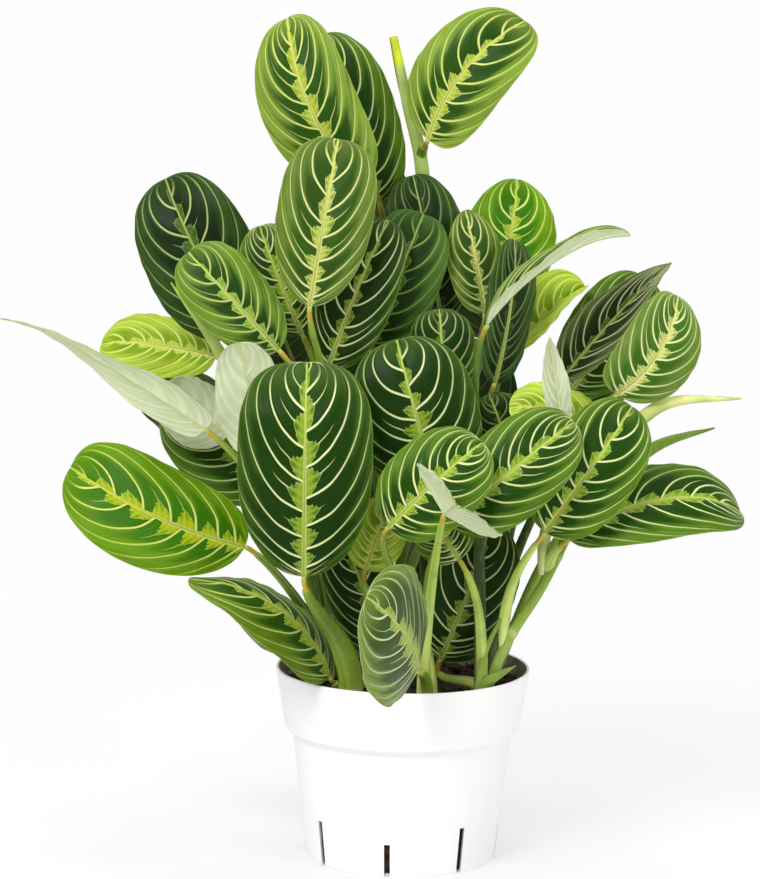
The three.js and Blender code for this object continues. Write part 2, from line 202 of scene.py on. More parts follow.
LOOKS = {
    "deep": paint((24, 56, 2), (62, 94, 20), (142, 172, 50), (230, 236, 168), (150, 170, 110), 0.86),
    "edged": paint((30, 68, 2), (86, 122, 26), (154, 184, 54), (228, 234, 160), (160, 180, 118), 0.64),
    "olive": paint((38, 76, 8), (122, 150, 50), (184, 198, 70), (214, 224, 124), (164, 184, 112), 0.62),
    "drab": paint((46, 80, 14), (98, 122, 42), (190, 200, 96), (220, 226, 150), (160, 180, 112), 0.6),
    "fresh": paint((42, 86, 8), (108, 142, 26), (176, 198, 58), (220, 230, 140), (160, 182, 96), 0.56),
    # The sheen look has a dull green band and veins: painted shade for a leaf inside the plant
    "sheen": paint((34, 60, 12), (74, 110, 40), (86, 124, 34), (126, 162, 76), (150, 168, 112), 0.6),
    "fern": paint((34, 70, 14), (108, 140, 42), (156, 188, 72), (190, 208, 116), (160, 180, 112), 0.5),
    "cream": paint((62, 104, 22), (108, 138, 52), (212, 216, 122), (232, 236, 176), (160, 180, 112), 0.62),
    "blue": paint((22, 44, 10), (50, 80, 26), (84, 122, 38), (188, 206, 128), (150, 168, 120), 0.62),
    "bright": paint((58, 116, 2), (102, 146, 6), (180, 194, 28), (220, 228, 120), (160, 182, 96), 0.6),
    "green": paint((54, 114, 4), (106, 150, 16), (176, 196, 50), (216, 228, 126), (160, 182, 96), 0.56),
    "grey": paint((54, 84, 20), (128, 152, 66), (176, 196, 84), (230, 234, 178), (170, 186, 136), 0.74),
    "lime": paint((124, 160, 22), (172, 198, 54), (204, 216, 80), (226, 232, 136), (190, 206, 92), 0.45),
    "plum": paint((34, 46, 14), (84, 98, 48), (118, 144, 62), (208, 214, 164), (160, 164, 120), 0.72),
    "silver": paint((40, 72, 20), (96, 128, 44), (170, 190, 70), (228, 234, 168), (232, 240, 198), 0.6),
    "mossy": paint((40, 72, 20), (96, 128, 44), (170, 190, 70), (228, 234, 168), (150, 170, 116), 0.6),
    # The shade looks have dark undersides: painted shade for back leaves whose undersides face into the
    # plant
    "shade": paint((26, 58, 12), (60, 92, 28), (150, 182, 58), (226, 232, 158), (48, 70, 28), 0.7),
    "shade_olive": paint((40, 74, 12), (116, 144, 48), (186, 200, 74), (222, 230, 146), (56, 78, 30), 0.5),
}


def leaf(
    foot, tip, width, face, look="deep", arch=0.06, fold=10, curl=26, twist=0, sway=0, droop=0.05,
    widest=0.5, point=OUTLINE_POWER, band=0.26, pattern=1, start=None, rise=0.45, reach=24, stout=1,
    stalk=None,
):
    """A blade from foot to tip, and its stalk. The blade faces the front, turned towards
    +X and tilted up by the two angles of face, in degrees like fold, curl and twist. Arch
    and droop are shares of its length, sway bows it to one side, widest is the place of
    its greatest width, point the roundness of its tip, band a share of its half width and
    pattern the strength of its markings; below 1 it is painted shade, dimming the markings
    of leaves that stand in the shade inside the plant. The stalk sets out upwards from the
    clump, or from start, by the share rise of its span, and comes in along the blade by
    reach; stout widens its foot."""
    return SimpleNamespace(**locals())


# In these rows, stalks "deep", the looks "shade", "shade_olive" and "sheen", and a pattern below 1 paint the
# shade that falls inside the plant
CLUMPS = [
    dict(name="front_left", root=(-33, -50), leaves=[
        leaf((-58, -98, 188), (-58, -90, 309), 78, (0, 6), widest=0.54, point=3.2, droop=0.12,
             arch=0.07, fold=4, curl=22, stout=2),
        leaf((-43, -54, 119), (-121, -84, 185), 50, (-16, 58), "fresh", band=0.34, arch=0.17, fold=-8,
             twist=44, rise=0.3, reach=3),
        leaf((-8, -36, 129), (-37, -40, 204), 46, (-6, 8)),
    ]),
    dict(name="front", root=(14, -53), leaves=[
        leaf((-10, -103, 218), (42, -99, 267), 55, (-8, 14), "edged", arch=0.12, fold=8),
        leaf((26, -92, 218), (95, -80, 277), 54, (6, 26), "edged", arch=0.1, fold=8),
        leaf((8, -82, 130), (-17, -168, 189), 76, (64, -7), "grey", fold=-6, curl=10, rise=0.6, reach=6),
        leaf((-23, -66, 186), (-10, -58, 226), 34, (0, 10), "lime"),
    ], fused=[
        leaf((21, -133, 231), (28, -170, 243), 64, (122, 42), "silver", fold=17, curl=8, widest=0.36,
             point=1.15, reach=6, rise=0.3, stalk="pale"),
    ]),
    dict(name="front_right", root=(46, -40), stalks="pale", stems=[
        dict(points=[(46, -40, 100), (60, -42, 138), (80, -42, 172), (100, -36, 213), (126, -42, 262),
                     (150, -36, 281), (196, -22, 283)], roll="cream"),
    ], shoots=[
        dict(points=[(43, -48, 103), (47, -48, 132), (62, -47, 165)], radius=2.3),
        dict(points=[(42, -46, 103), (48, -48, 115), (66, -49, 127)], radius=4.2),
    ], leaves=[
        leaf((80, -78, 212), (130, -60, 283), 56, (8, 14), "edged", start=(58, -42, 134)),
        leaf((96, -56, 204), (198, -26, 219), 52, (6, 42), "edged", widest=0.56, arch=0.16, sway=-5,
             start=(84, -41, 180), reach=7),
        leaf((31, -72, 194), (12, -67, 222), 34, (0, 8), "edged"),
        leaf((22, -22, 124), (51, -26, 207), 57, (10, 8)),
        leaf((111, -34, 271), (60, -44, 280), 38, (-4, 44), "lime", start=(104, -37, 222)),
        leaf((122, -42, 287), (157, -32, 344), 46, (8, 12), "cream", band=0.32, sway=7, widest=0.46,
             start=(114, -40, 244), reach=5),
    ], fused=[
        leaf((90, -66, 268), (81, -60, 322), 20, (180, 0), "silver", fold=50, point=1.3,
             start=(80, -42, 180)),
        leaf((46, -50, 328), (125, -40, 383), 20, (-60, 50), "silver", fold=72, arch=0.09, rise=0.6,
             stalk="deep"),
    ]),
    dict(name="centre", root=(-8, -10), leaves=[
        leaf((17, -72, 237), (-7, -64, 320), 73, (-4, 10), arch=0.08, fold=4, rise=0.6, widest=0.47,
             point=2.6),
        leaf((-57, -62, 339), (-42, -48, 434), 56, (0, 10), "drab", widest=0.56, point=2.6),
        leaf((-46, -40, 301), (-13, -30, 386), 46, (-10, 10)),
        leaf((-22, -22, 309), (8, -12, 388), 50, (0, 10), "sheen", point=2.8),
        leaf((22, -36, 284), (18, -28, 334), 40, (0, 10), pattern=0.55),
        leaf((-75, -52, 312), (-128, -42, 367), 45, (-10, 20), "fern", widest=0.54, point=2.6),
        leaf((-62, -26, 318), (-88, -17, 380), 42, (-8, 10), "edged"),
    ]),
    dict(name="left", root=(-47, 4), stems=[
        dict(points=[(-47, 4, 100), (-70, -2, 220), (-111, -22, 307), (-139, -24, 347)], roll="striped"),
    ], leaves=[
        leaf((-99, -8, 315), (-145, 4, 405), 68, (-16, 16), "blue", arch=0.08),
        leaf((-114, 10, 299), (-183, 20, 306), 44, (-6, 40), "lime"),
        leaf((-118, -33, 262), (-232, -61, 334), 30, (180, 54), "silver",
             widest=0.3, point=1.1, arch=0.04, twist=-50, sway=4),
        leaf((-106, -10, 255), (-146, -8, 280), 46, (180, 26), "silver"),
        leaf((-78, 10, 218), (-141, 25, 269), 57, (-10, 24), "edged"),
        leaf((-94, -42, 194), (-197, -30, 239), 64, (-8, 28), "bright", band=0.35, widest=0.52, point=2.6,
             arch=0.07, sway=-8, rise=0.3, reach=10),
        leaf((-58, -18, 128), (-96, -24, 160), 36, (170, 10), "mossy", rise=0.2),
        leaf((-86, -62, 250), (-97, -60, 317), 40, (172, 8), "silver"),
    ]),
    dict(name="tall", root=(12, 24), stalks="deep", stems=[
        dict(points=[(12, 24, 100), (12, 32, 260), (9, 27, 380), (6, 16, 418), (-2, 10, 450), (-11, 8, 490)],
             roll="tipped", tip_radius=2.6, swell=1.6),
    ], leaves=[
        leaf((-31, -12, 406), (-73, 4, 501), 57, (0, 14), "olive", arch=0.08, sway=-9, widest=0.47),
        leaf((-18, 18, 392), (-53, 30, 490), 55, (8, 12), "edged"),
        leaf((10, -2, 431), (65, 0, 501), 55, (-4, 14), "olive", sway=-8, widest=0.47, point=2.6,
             start=(6, 17, 414), reach=6, stalk="green"),
        leaf((21, -2, 318), (2, 8, 409), 48, (4, 10), "blue", pattern=0.4),
        leaf((55, 24, 335), (65, 38, 405), 56, (6, 12), "green", point=1.8),
        leaf((45, -10, 330), (33, -4, 390), 34, (4, 10), "drab", point=1.7, pattern=0.85),
        leaf((51, -28, 291), (63, -14, 374), 31, (24, 8), "blue", pattern=0.3),
    ]),
    dict(name="right", root=(52, 8), stalks="deep", stems=[
        dict(points=[(52, 8, 100), (90, 4, 190), (145, -8, 250), (183, 0, 262)], roll="green"),
    ], leaves=[
        leaf((92, -14, 293), (154, 0, 361), 38, (-10, 24), "plum", fold=46, widest=0.43, point=1.2,
             pattern=0.75),
        leaf((99, 24, 280), (143, 36, 347), 52, (0, 12), "edged", pattern=0.8),
        leaf((104, 40, 258), (114, 50, 302), 48, (0, 12), "edged"),
        leaf((58, 10, 297), (104, 22, 344), 46, (-36, 30), "lime", fold=50),
        leaf((62, -34, 247), (48, -34, 285), 34, (4, 10), pattern=0.3),
    ]),
    dict(name="back", root=(-8, 52), stalks="deep", leaves=[
        leaf((-38, 70, 190), (-42, 96, 308), 74, (184, 16), "shade"),
        leaf((30, 84, 200), (40, 104, 300), 70, (176, 18), "shade"),
        leaf((-90, 60, 230), (-165, 80, 276), 60, (190, 34), "shade_olive"),
        leaf((70, 62, 214), (128, 86, 258), 54, (172, 34), "shade_olive"),
        leaf((-20, 60, 326), (-30, 66, 420), 60, (182, 12), "shade_olive"),
        leaf((44, 60, 306), (62, 76, 384), 54, (176, 16), "shade"),
        leaf((-66, 50, 285), (-95, 60, 351), 54, (188, 18), "shade"),
        leaf((-6, 92, 130), (-40, 142, 160), 56, (184, 50), "shade"),
        leaf((18, 92, 132), (48, 138, 152), 54, (172, 50), "shade"),
    ]),
]


# Vectors in arrays
def unit(vectors):
    return vectors / np.linalg.norm(vectors, axis=-1, keepdims=True)


def turned_about(vector, axes, angles):
    """vector turned about each axis by each angle."""
    cos, sin = np.cos(angles)[:, None], np.sin(angles)[:, None]
    along = (axes @ vector)[:, None]
    return vector * cos + np.cross(axes, vector) * sin + axes * along * (1 - cos)


def smooth_step(low, high, x):
    t = np.clip((x - low) / (high - low), 0, 1)
    return t * t * (3 - 2 * t)


def hump(x, middle, spread):
    """A bell of height 1 round middle."""
    return np.exp(-(((x - middle) / spread) ** 2))


# Blade surface: the same formula as in the CAD part
def midrib(leaf, v):
    """Midrib points, tangents and side directions for an array of v."""
    foot, tip = np.array(leaf.foot, float), np.array(leaf.tip, float)
    chord = tip - foot
    length = np.linalg.norm(chord)
    along = chord / length
    compass, tilt = np.radians(leaf.face)
    face = np.array([
        math.sin(compass) * math.cos(tilt),
        -math.cos(compass) * math.cos(tilt),
        math.sin(tilt),
    ])
    face = unit(face - along * (face @ along))
    side = np.cross(along, face)
    arch = leaf.arch * length
    sway = leaf.sway
    droop = leaf.droop * length

    def point(v):
        bow = (4 * v * (1 - v))[:, None]
        fall = (np.maximum(0, (v - DROOP_START) / (1 - DROOP_START)) ** 2)[:, None]
        return foot + chord * v[:, None] + face * (arch * bow - droop * fall) + side * sway * bow

    step = 0.001
    return point(v), unit(point(v + step) - point(v - step)), side


def half_width(leaf, v):
    warped = np.clip(v, 0, 1) ** (math.log(0.5) / math.log(leaf.widest))
    s = np.abs(2 * warped - 1)
    power = np.where(warped > 0.5, leaf.point, OUTLINE_POWER)
    least = FOOT_HALF_WIDTH + (TIP_HALF_WIDTH - FOOT_HALF_WIDTH) * v
    return np.maximum(least, 0.5 * leaf.width * (1 - s**power) ** (1 / power))


def blade_grid(leaf, v, u):
    """Points and normals of a grid, and each point's way from the midrib in mm."""
    half = 0.5 * leaf.width
    points, tangents, side = midrib(leaf, v)
    twist = np.radians(leaf.twist * (v - 0.5))
    sides = turned_about(side, tangents, twist)
    ups = np.cross(sides, tangents)
    reach = np.abs(u)[None, :] * half_width(leaf, v)[:, None]
    fold = math.radians(leaf.fold)
    bend = math.radians(leaf.curl) / half
    angle = fold - bend * reach
    out = (math.sin(fold) - np.sin(angle)) / bend
    lift = (np.cos(angle) - math.cos(fold)) / bend
    lift = lift + RIPPLE_HEIGHT * (reach / half) ** 2 * np.sin(
        2 * math.pi * RIPPLES * v[:, None] + u[None, :]
    )
    sign = np.sign(u)[None, :]
    grid = points[:, None] + sides[:, None] * (sign * out)[..., None] + ups[:, None] * lift[..., None]
    normals = ups[:, None] * np.cos(angle)[..., None] - sides[:, None] * (sign * np.sin(angle))[..., None]
    return grid, normals, reach


def towards_full(least, width, full_width):
    """A share that grows with the width of the leaf, from least up to 1."""
    return least + (1 - least) * min(1, width / full_width)


def vein_field(leaf, v, u):
    """Vein number over the grid, and the millimetres between two veins there."""
    length = np.linalg.norm(np.subtract(leaf.tip, leaf.foot))
    reach = np.abs(u)[None, :]
    sweep = sum(size * reach**power for size, power in SWEEP_TERMS)
    slope = sum(size * power * reach ** (power - 1) for size, power in SWEEP_TERMS)
    root = (v[:, None] - SWEEP_FOOT * sweep) / (1 + SWEEP_GROWTH * sweep)
    half = half_width(leaf, v)[:, None]
    change = np.gradient(half[:, 0], v)[:, None]
    by_v = 1 / (1 + SWEEP_GROWTH * sweep)
    by_u = -(SWEEP_FOOT + SWEEP_GROWTH * root) * slope * by_v
    by_along = (by_v - by_u * reach * change / half) / length
    by_across = by_u / half
    kept = np.maximum(root, VEIN_START)
    count = VEIN_COUNT * towards_full(NARROW_COUNT, leaf.width, FULL_COUNT_WIDTH)
    rate = count * VEIN_POWER * kept ** (VEIN_POWER - 1)
    number = count * kept**VEIN_POWER + rate * np.minimum(root - VEIN_START, 0)
    spacing = 1 / (rate * np.hypot(by_along, by_across) + 1e-6)
    return number, np.clip(spacing, 0.5, 40)


def puffed(grid, normals, reach, number, spacing, v, u, random):
    """The grid puffed up a little between two veins, with a margin that isn't quite even."""
    cell = number + random.uniform(0, 1)
    dome = np.sin(np.pi * (cell % 1)) * np.minimum(1, reach / PUFF_FROM_MIDRIB)
    puff = PUFF_HEIGHT * np.minimum(1, spacing / PUFF_SPACING) * dome
    wave = np.sin(2 * math.pi * (MARGIN_WAVES * v[:, None] + random.uniform(0, 1)) + 2 * u[None, :])
    uneven = MARGIN_WAVE_HEIGHT * np.abs(u)[None, :] ** 4 * wave
    return grid + normals * (puff + uneven)[..., None]


# Meshes
def new_piece(name, points, faces, materials, face_materials=None):
    mesh = bpy.data.meshes.new(name)
    mesh.from_pydata((np.asarray(points) * MM).tolist(), [], faces)
    for material in materials:
        mesh.materials.append(material)
    if face_materials is not None:
        mesh.polygons.foreach_set("material_index", face_materials)
    mesh.polygons.foreach_set("use_smooth", [True] * len(mesh.polygons))
    obj = bpy.data.objects.new(name, mesh)
    bpy.context.scene.collection.objects.link(obj)
    return obj


def set_values(mesh, name, values, domain="POINT"):
    """One number for each point, or for each corner of each face."""
    layer = mesh.attributes.new(name, "FLOAT", domain)
    layer.data.foreach_set("value", np.asarray(values, np.float32).ravel())


def set_colours(mesh, name, rgb):
    """One colour for each point, or one for all."""
    rgba = np.ones((len(mesh.vertices), 4), np.float32)
    rgba[:, :3] = rgb
    mesh.attributes.new(name, "FLOAT_COLOR", "POINT").data.foreach_set("color", rgba.ravel())


def grid_faces(rows, columns, first=0, flip=False):
    stride = columns + 1
    row, column = np.meshgrid(np.arange(rows), np.arange(columns), indexing="ij")
    a = first + (row * stride + column).ravel()
    quads = np.stack([a, a + 1, a + 1 + stride, a + stride], 1)
    return quads[:, ::-1] if flip else quads


def ring_faces(rings, sides, first=0):
    """Faces between rings that each have as many points as sides."""
    faces = []
    for low in range(first, first + (rings - 1) * sides, sides):
        for k in range(sides):
            j = (k + 1) % sides
            faces.append((low + k, low + j, low + sides + j, low + sides + k))
    return faces


def once_round(rows, columns):
    """The outermost points of a grid, in order."""
    stride = columns + 1
    foot = list(range(columns))
    right = [row * stride + columns for row in range(rows)]
    tip = [rows * stride + column for column in range(columns, 0, -1)]
    left = [row * stride for row in range(rows, 0, -1)]
    return np.array(foot + right + tip + left)


def shell(grid, normals):
    """A closed sheet round the grid: its points, the grid point that each comes from, its
    faces, and their materials (0 on top, 1 underneath, 2 at the rim)."""
    rows, columns = grid.shape[0] - 1, grid.shape[1] - 1
    upper = (grid + normals * BLADE_THICKNESS / 2).reshape(-1, 3)
    lower = (grid - normals * BLADE_THICKNESS / 2).reshape(-1, 3)
    rim = once_round(rows, columns)
    points = np.concatenate([upper, lower, upper[rim], lower[rim]])
    source = np.concatenate([np.arange(len(upper)), np.arange(len(upper)), rim, rim])
    here = 2 * len(upper) + np.arange(len(rim))
    following = np.roll(here, -1)
    parts = [
        grid_faces(rows, columns),
        grid_faces(rows, columns, len(upper), True),
        np.stack([here, here + len(rim), following + len(rim), following], 1),
    ]
    return points, source, np.concatenate(parts), np.repeat([0, 1, 2], [len(part) for part in parts])


def build_blade(name, leaf, random):
    v = 0.5 - 0.5 * np.cos(np.pi * np.arange(BLADE_ROWS + 1) / BLADE_ROWS)
    steps = np.linspace(0, 1, HALF_COLUMNS + 1) ** 0.9
    u = np.concatenate([-steps[:0:-1], steps])
    grid, normals, reach = blade_grid(leaf, v, u)
    number, spacing = vein_field(leaf, v, u)
    grid = puffed(grid, normals, reach, number, spacing, v, u, random)
    points, source, faces, sides = shell(grid, normals)
    obj = new_piece(name, points, faces.tolist(), [blade_top, blade_under, blade_rim], sides)
    mesh = obj.data

    # Each corner of a face left of the midrib counts its veins with an offset
    u_all = np.broadcast_to(u[None, :], reach.shape).ravel()
    v_all = np.broadcast_to(v[:, None], reach.shape).ravel()
    corner = source[faces]
    left = u_all[corner].mean(axis=1, keepdims=True) < 0
    offset = np.where(left, LEFT_OFFSET, 0) + VEIN_SHIFT * leaf.shift
    set_values(mesh, "veins", number.ravel()[corner] + offset, "CORNER")

    half = 0.5 * leaf.width
    fields = dict(
        spacing=spacing.ravel(),
        from_midrib=reach.ravel(),
        to_margin=(half_width(leaf, v)[:, None] - reach).ravel(),
        reach=np.abs(u_all),
        along=v_all,
        band=half * leaf.band * np.interp(v_all, *zip(*BAND_ALONG)),
    )
    for field, values in fields.items():
        set_values(mesh, field, values[source])
    look = LOOKS[leaf.look]
    levels = dict(
        dark_to=look["dark"],
        pattern=leaf.pattern,
        scale=towards_full(NARROW_SCALE, leaf.width, FULL_SCALE_WIDTH),
        seed=random.uniform(0, SEED_RANGE),
    )
    for field, level in levels.items():
        set_values(mesh, field, np.full(len(points), level))
    shade = 1 + random.uniform(-BLADE_SHADES, BLADE_SHADES)
    for part in ("centre", "margin", "band", "vein", "under"):
        set_colours(mesh, part + "_colour", np.array(colour(*look[part])) * shade)

    # Texture space: the top in one half and the underside in the other
    across = 0.5 + 0.48 * u_all * (half_width(leaf, v_all) / half)
    order = np.arange(len(points))
    underneath = (order >= reach.size) & (order < 2 * reach.size)
    layout = np.stack([0.5 * (across[source] + underneath), 0.01 + 0.98 * v_all[source]], 1)
    mesh.uv_layers.new(name="OFBake").data.foreach_set("uv", layout[faces].astype(np.float32).ravel())
    return obj


# Paths
def bezier(p0, p1, p2, p3, count):
    t = np.linspace(0, 1, count)[:, None]
    return p0 * (1 - t) ** 3 + 3 * p1 * t * (1 - t) ** 2 + 3 * p2 * t**2 * (1 - t) + p3 * t**3


def centripetal(points, count):
    """A smooth path through points, as the CAD part's stems have."""
    p = np.array(points, float)
    p = np.concatenate([[2 * p[0] - p[1]], p, [2 * p[-1] - p[-2]]])
    path = []
    for i in range(len(p) - 3):
        x0, x1, x2, x3 = p[i : i + 4]
        d0, d1, d2 = (np.linalg.norm(b - a) ** 0.5 for a, b in ((x0, x1), (x1, x2), (x2, x3)))
        t1 = d1 * ((x1 - x0) / d0 - (x2 - x0) / (d0 + d1) + (x2 - x1) / d1)
        t2 = d1 * ((x2 - x1) / d1 - (x3 - x1) / (d1 + d2) + (x3 - x2) / d2)
        t = np.linspace(0, 1, count, endpoint=False)[:, None]
        path.append(
            x1 + t1 * t + (3 * x2 - 3 * x1 - 2 * t1 - t2) * t**2 + (2 * x1 - 2 * x2 + t1 + t2) * t**3
        )
    return np.concatenate(path + [p[-2:-1]])


def evenly(path, count):
    """The path with its points the same way apart, and its length."""
    lengths = np.concatenate([[0], np.cumsum(np.linalg.norm(np.diff(path, axis=0), axis=1))])
    wanted = np.linspace(0, lengths[-1], count)
    return np.stack([np.interp(wanted, lengths, path[:, i]) for i in range(3)], 1), lengths[-1]


def smooth_path(points, count, rings):
    """A path through points in even steps, and each step's share of it."""
    return evenly(centripetal(points, count), rings)[0], np.linspace(0, 1, rings)


def carried_frames(path):
    """Two directions across the path at each point, carried along without turning."""
    tangents = unit(np.gradient(path, axis=0))
    normal = np.cross(tangents[0], [0.3, -0.9, 0.1])
    normals = []
    for tangent in tangents:
        normal = unit(normal - tangent * (normal @ tangent))
        normals.append(normal)
    return np.array(normals), np.cross(tangents, normals)


def tube(path, radii, sides, groove=0.0, flat=1.0):
    """Rings round a path, closed at both ends. radii has a number for each ring."""
    normals, others = carried_frames(path)
    turn = 2 * math.pi * np.arange(sides) / sides
    section = 1 - groove * hump(np.angle(np.exp(1j * (turn - GROOVE_ANGLE))), 0, GROOVE_SPREAD)
    radius = np.asarray(radii)[:, None] * section[None, :]
    points = (
        path[:, None]
        + normals[:, None] * (radius * np.cos(turn))[..., None]
        + others[:, None] * (radius * flat * np.sin(turn))[..., None]
    ).reshape(-1, 3)
    rings = len(path)
    ends = [tuple(range(sides - 1, -1, -1)), tuple(range((rings - 1) * sides, rings * sides))]
    return points, ring_faces(rings, sides) + ends, np.repeat(np.arange(rings), sides)


class Bundle:
    """Several shapes that become one piece, with a colour at each point."""

    def __init__(self):
        self.points, self.faces, self.tints = [], [], []
        self.count = 0

    def add(self, points, faces, tints):
        self.points.append(points)
        self.faces += [tuple(i + self.count for i in face) for face in faces]
        self.tints.append(tints)
        self.count += len(points)

    def add_tube(self, path, radii, tints, sides=STALK_SIDES, **more):
        """A tube with a radius and a colour for each ring."""
        points, faces, rings = tube(path, radii, sides, **more)
        self.add(points, faces, tints[rings])

    def piece(self, name, material):
        obj = new_piece(name, np.concatenate(self.points), self.faces, [material])
        set_colours(obj.data, "tint", np.concatenate(self.tints))
        return obj


def ramp(shares, stops):
    """Colours along a list of (share, colour) stops."""
    places = [s for s, _ in stops]
    values = np.array([colour(*c) for _, c in stops])
    return np.stack([np.interp(shares, places, values[:, i]) for i in range(3)], 1)


def blended(tints, tint, shares):
    """Tints drawn towards one colour, each by its own share."""
    return tints * (1 - shares[:, None]) + np.array(colour(*tint)) * shares[:, None]


# Colours along a stalk, a stem, a rolled leaf, a shoot and a root fibre, from foot to end
STALK_TINTS = {
    "pale": [(0, (206, 208, 140)), (0.2, (184, 200, 106)), (0.7, (166, 190, 82)), (1, (160, 186, 70))],
    "green": [(0, (190, 196, 112)), (0.12, (132, 156, 50)), (0.6, (100, 130, 34)), (1, (134, 162, 54))],
    # The deep tints are painted shade: darker stalks for the clumps in the middle and back of the plant,
    # where shade falls
    "deep": [(0, (110, 120, 64)), (0.15, (66, 86, 36)), (0.6, (52, 74, 28)), (1, (92, 122, 44))],
}
STEM_TINTS = [(0, (170, 184, 100)), (0.3, (140, 168, 66)), (1, (132, 160, 58))]
ROLL_TINTS = {
    "cream": [(0, (150, 178, 72)), (0.25, (206, 214, 116)), (0.8, (224, 228, 150)), (1, (196, 200, 100))],
    "green": [(0, (136, 164, 60)), (0.3, (116, 148, 44)), (0.8, (112, 146, 40)), (1, (96, 126, 40))],
    "striped": [(0, (96, 126, 44)), (0.3, (150, 176, 84)), (0.85, (196, 212, 120)), (1, (170, 196, 60))],
    "tipped": [(0, (128, 158, 60)), (0.3, (158, 182, 92)), (0.88, (168, 190, 106)), (0.9, (196, 214, 20)),
               (1, (206, 218, 30))],
}
SHOOT_TINTS = [(0, (176, 186, 110)), (0.3, (140, 168, 70)), (0.8, (112, 142, 52)), (1, (150, 132, 84))]
FIBRE_TINTS = [(0, (150, 118, 70)), (1, (84, 60, 34))]
JOINT_TINTS = [(192, 170, 58), (174, 154, 56), (156, 140, 52), (184, 156, 50)]
JOINT_END_TINT = (176, 190, 92)
SHEATH_HEM_TINT = (214, 220, 152)
KNOT_TINT = (204, 208, 136)
ROLL_HEM_TINT = (74, 104, 24)


def stalk_path(leaf, root, index):
    point, tangent, _ = midrib(leaf, np.array([0.0, 0.001]))
    direction = tangent[1]
    end = point[0] - direction * BLADE_GAP
    turn = math.radians(GOLDEN_TURN * index)
    across = (SPIRAL_RADIUS * math.cos(turn), SPIRAL_RADIUS * math.sin(turn))
    origin = (root[0] + across[0], root[1] + across[1], START_HEIGHT)
    start = np.array(origin if leaf.start is None else leaf.start, float)
    span = np.linalg.norm(end - start)
    rise = start + np.array([0, 0, leaf.rise * span])
    reach = end - direction * leaf.reach
    return bezier(start, rise, reach, end, 200)


def add_stalk(bundle, leaf, clump, index, random):
    """A grooved sheath, then the thin joint that carries the blade."""
    path, length = evenly(stalk_path(leaf, clump["root"], index), STALK_RINGS)
    share = np.linspace(0, 1, STALK_RINGS)
    joint = 1 - min(JOINT_SHARE, JOINT_LENGTH / length)
    foot_radius = STALK_FOOT_RADIUS * leaf.stout
    sheath = STALK_TOP_RADIUS + (foot_radius - STALK_TOP_RADIUS) * np.minimum(1, (1 - share) / SHEATH_END)
    if leaf.start is not None:
        sheath = sheath * (BRANCH_START + (1 - BRANCH_START) * np.minimum(1, share / BRANCH_GROWTH))
    sheath = sheath * (1 + 0.05 * hump(share, joint - 0.02, JOINT_EDGE))
    thin = JOINT_RADIUS + JOINT_SWELL * np.sin(np.pi * np.clip((share - joint) / (1 - joint), 0, 1))
    beyond = smooth_step(joint - JOINT_EDGE, joint + JOINT_EDGE, share)
    radii = sheath * (1 - beyond) + thin * beyond
    points, faces, rings = tube(path, radii, STALK_SIDES, groove=0.1, flat=0.85)

    tints = ramp(share, STALK_TINTS[leaf.stalk or clump.get("stalks", "green")])
    tints = blended(tints, random.choice(JOINT_TINTS), beyond)
    tints = blended(tints, JOINT_END_TINT, smooth_step(1 - 0.25 * (1 - joint), 1, share))
    on_sheath = 1 - beyond[rings]
    side = np.arange(len(points)) % STALK_SIDES
    stripes = np.array([random.uniform(-STALK_STRIPES, STALK_STRIPES) for _ in range(STALK_SIDES)])
    hem = (side == random.integers(STALK_SIDES)) * 0.5 * on_sheath
    tints = tints[rings] * (1 + stripes[side] * on_sheath)[:, None]
    bundle.add(points, faces, blended(tints, SHEATH_HEM_TINT, hem) * random.uniform(*STALK_SHADES))


def add_stem(bundle, stem):
    """A jointed stem whose end is a young leaf still rolled up."""
    path, share = smooth_path(stem["points"], 60, STEM_RINGS)
    body = share < ROLL_START
    local = share[body] / ROLL_START
    radii = np.full(body.sum(), float(STEM_RADIUS))
    tints = ramp(local, STEM_TINTS)
    for knot in STEM_KNOTS:
        ring = hump(local, knot, KNOT_SPREAD)
        radii = radii * (1 + 0.18 * ring)
        tints = blended(tints, KNOT_TINT, 0.7 * ring)
    bundle.add_tube(path[body], radii, tints, groove=0.08)
    add_roll(bundle, stem, path[share >= ROLL_START - 0.02])


def add_roll(bundle, stem, path):
    """A young leaf: a sheet wound round the path, with its margin as a dark line."""
    normals, others = carried_frames(path)
    local = np.linspace(0, 1, len(path))
    tip = stem.get("tip_radius", 0.5)
    swell = stem.get("swell", ROLL_SWELL * (1 - tip / STEM_RADIUS)) * np.sin(np.pi * local**0.8)
    outer = STEM_RADIUS + (tip - STEM_RADIUS) * local + swell
    wound = np.linspace(0, 1, ROLL_COLUMNS)
    points = []
    for inset in (0, ROLL_THICKNESS):
        for i in range(len(path)):
            around = 2 * math.pi * ROLL_TURNS * wound + ROLL_PHASE + ROLL_TWIST * local[i]
            radius = np.maximum(outer[i] * (ROLL_INNER + (1 - ROLL_INNER) * wound) - inset, 0.1)
            across = normals[i] * (radius * np.cos(around))[:, None]
            points.append(path[i] + across + others[i] * (radius * np.sin(around))[:, None])
    rows, columns = len(path) - 1, ROLL_COLUMNS - 1
    lining = grid_faces(rows, columns, len(path) * ROLL_COLUMNS, True)
    faces = np.concatenate([grid_faces(rows, columns), lining])
    tints = np.repeat(ramp(local, ROLL_TINTS[stem["roll"]]), ROLL_COLUMNS, axis=0)
    tints = blended(tints, ROLL_HEM_TINT, 0.6 * np.tile(hump(wound, 0.93, 0.05), len(path)))
    bundle.add(np.concatenate(points), faces.tolist(), np.concatenate([tints, tints]))


def add_shoot(bundle, shoot):
    """A pointed sheath with no blade yet."""
    path, share = smooth_path(shoot["points"], 40, SHOOT_RINGS)
    radii = np.maximum(0.3, shoot["radius"] * (1 - share**2.4))
    bundle.add_tube(path, radii, ramp(share, SHOOT_TINTS), groove=0.25, flat=0.7)


